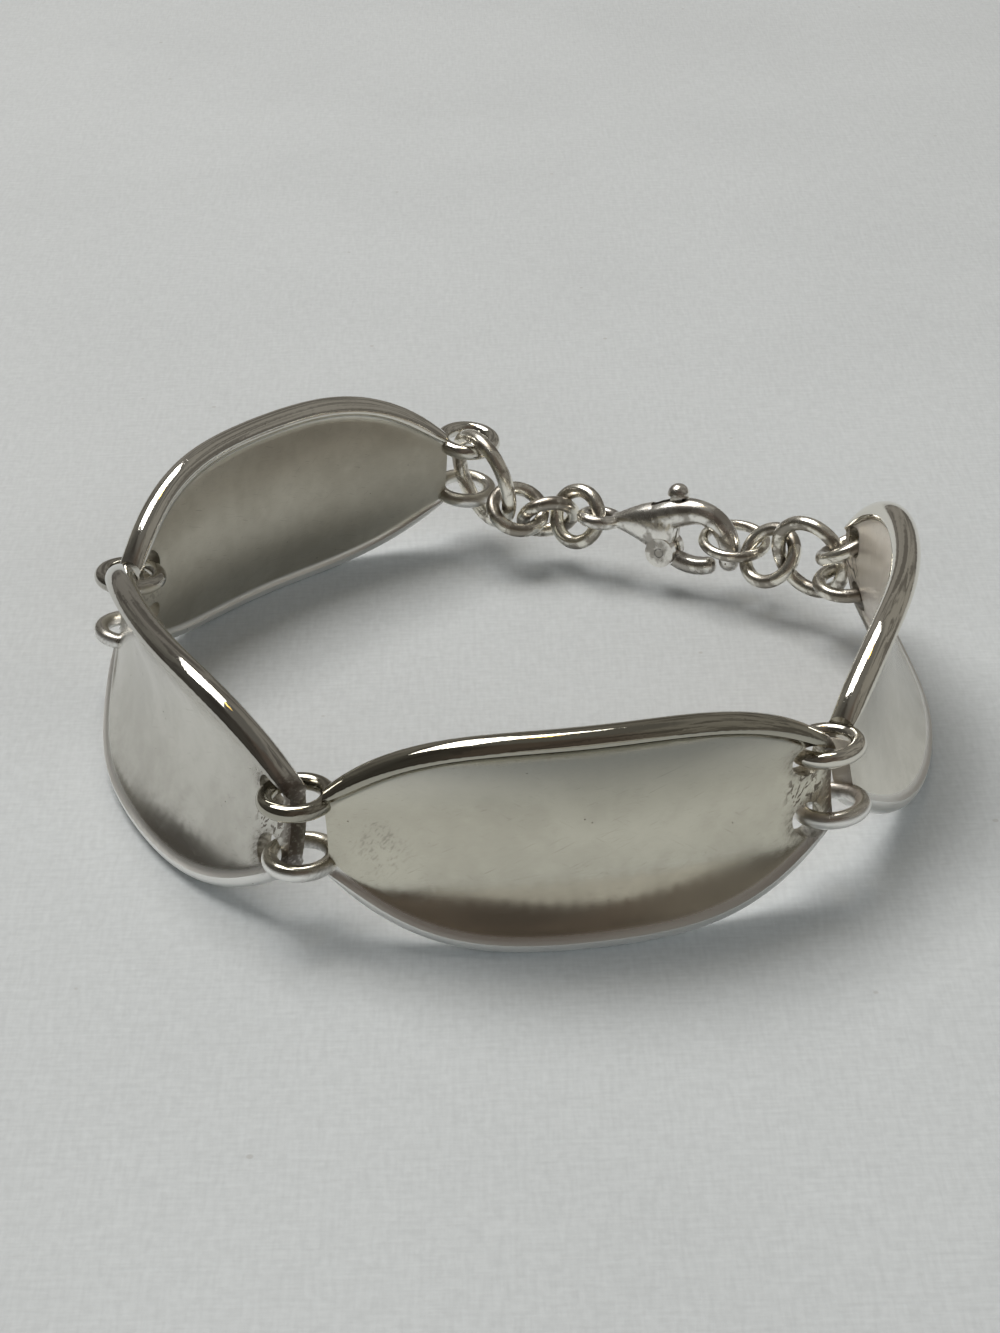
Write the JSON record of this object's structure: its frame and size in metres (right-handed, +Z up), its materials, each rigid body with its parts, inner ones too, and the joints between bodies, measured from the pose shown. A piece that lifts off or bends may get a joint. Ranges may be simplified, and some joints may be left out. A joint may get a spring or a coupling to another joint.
{
  "type": "link bracelet",
  "caption": "Heavy silver link bracelet of saddle-shaped panels joined by wire loops, closed by a short ring chain and a lobster clasp, standing on its edges.",
  "frame": {"origin": "middle of the bottom of the bounding box, on the surface that the bracelet stands on", "axes": "+Z up, -Y out of the panel that faces the viewer, +X to the viewer's right"},
  "size_m": [0.0662, 0.0676, 0.0176],
  "materials": {
    "panel_silver": "sterling silver, satin faces with fine scratches and polished rims",
    "ring_silver": "polished sterling silver wire, tarnished in the bends",
    "clasp_silver": "polished sterling silver casting"
  },
  "bodies": {
    "bracelet": {"panel_1": "panel_silver", "panel_2": "panel_silver", "panel_3": "panel_silver", "panel_4": "panel_silver", "link_ring": "ring_silver", "chain_ring_1": "ring_silver", "chain_ring_2": "ring_silver", "chain_ring_3": "ring_silver", "end_ring_upper": "ring_silver", "end_ring_lower": "ring_silver", "joining_ring": "ring_silver", "round_ring": "ring_silver", "jump_ring": "ring_silver", "clasp_body": "clasp_silver", "clasp_pin": "clasp_silver"},
    "lever": {"clasp_lever": "clasp_silver"}
  },
  "joints": [
    {"name": "clasp_lever_hinge", "type": "hinge", "parent": "bracelet", "child": "lever", "pos_m": [0.01375, 0.02109, 0.0038], "axis": [-0.4194, -0.8931, 0.1629], "range_deg": [0, 18], "stiffness_Nm_per_rad": 0.002, "springref_deg": -28.65}
  ]
}
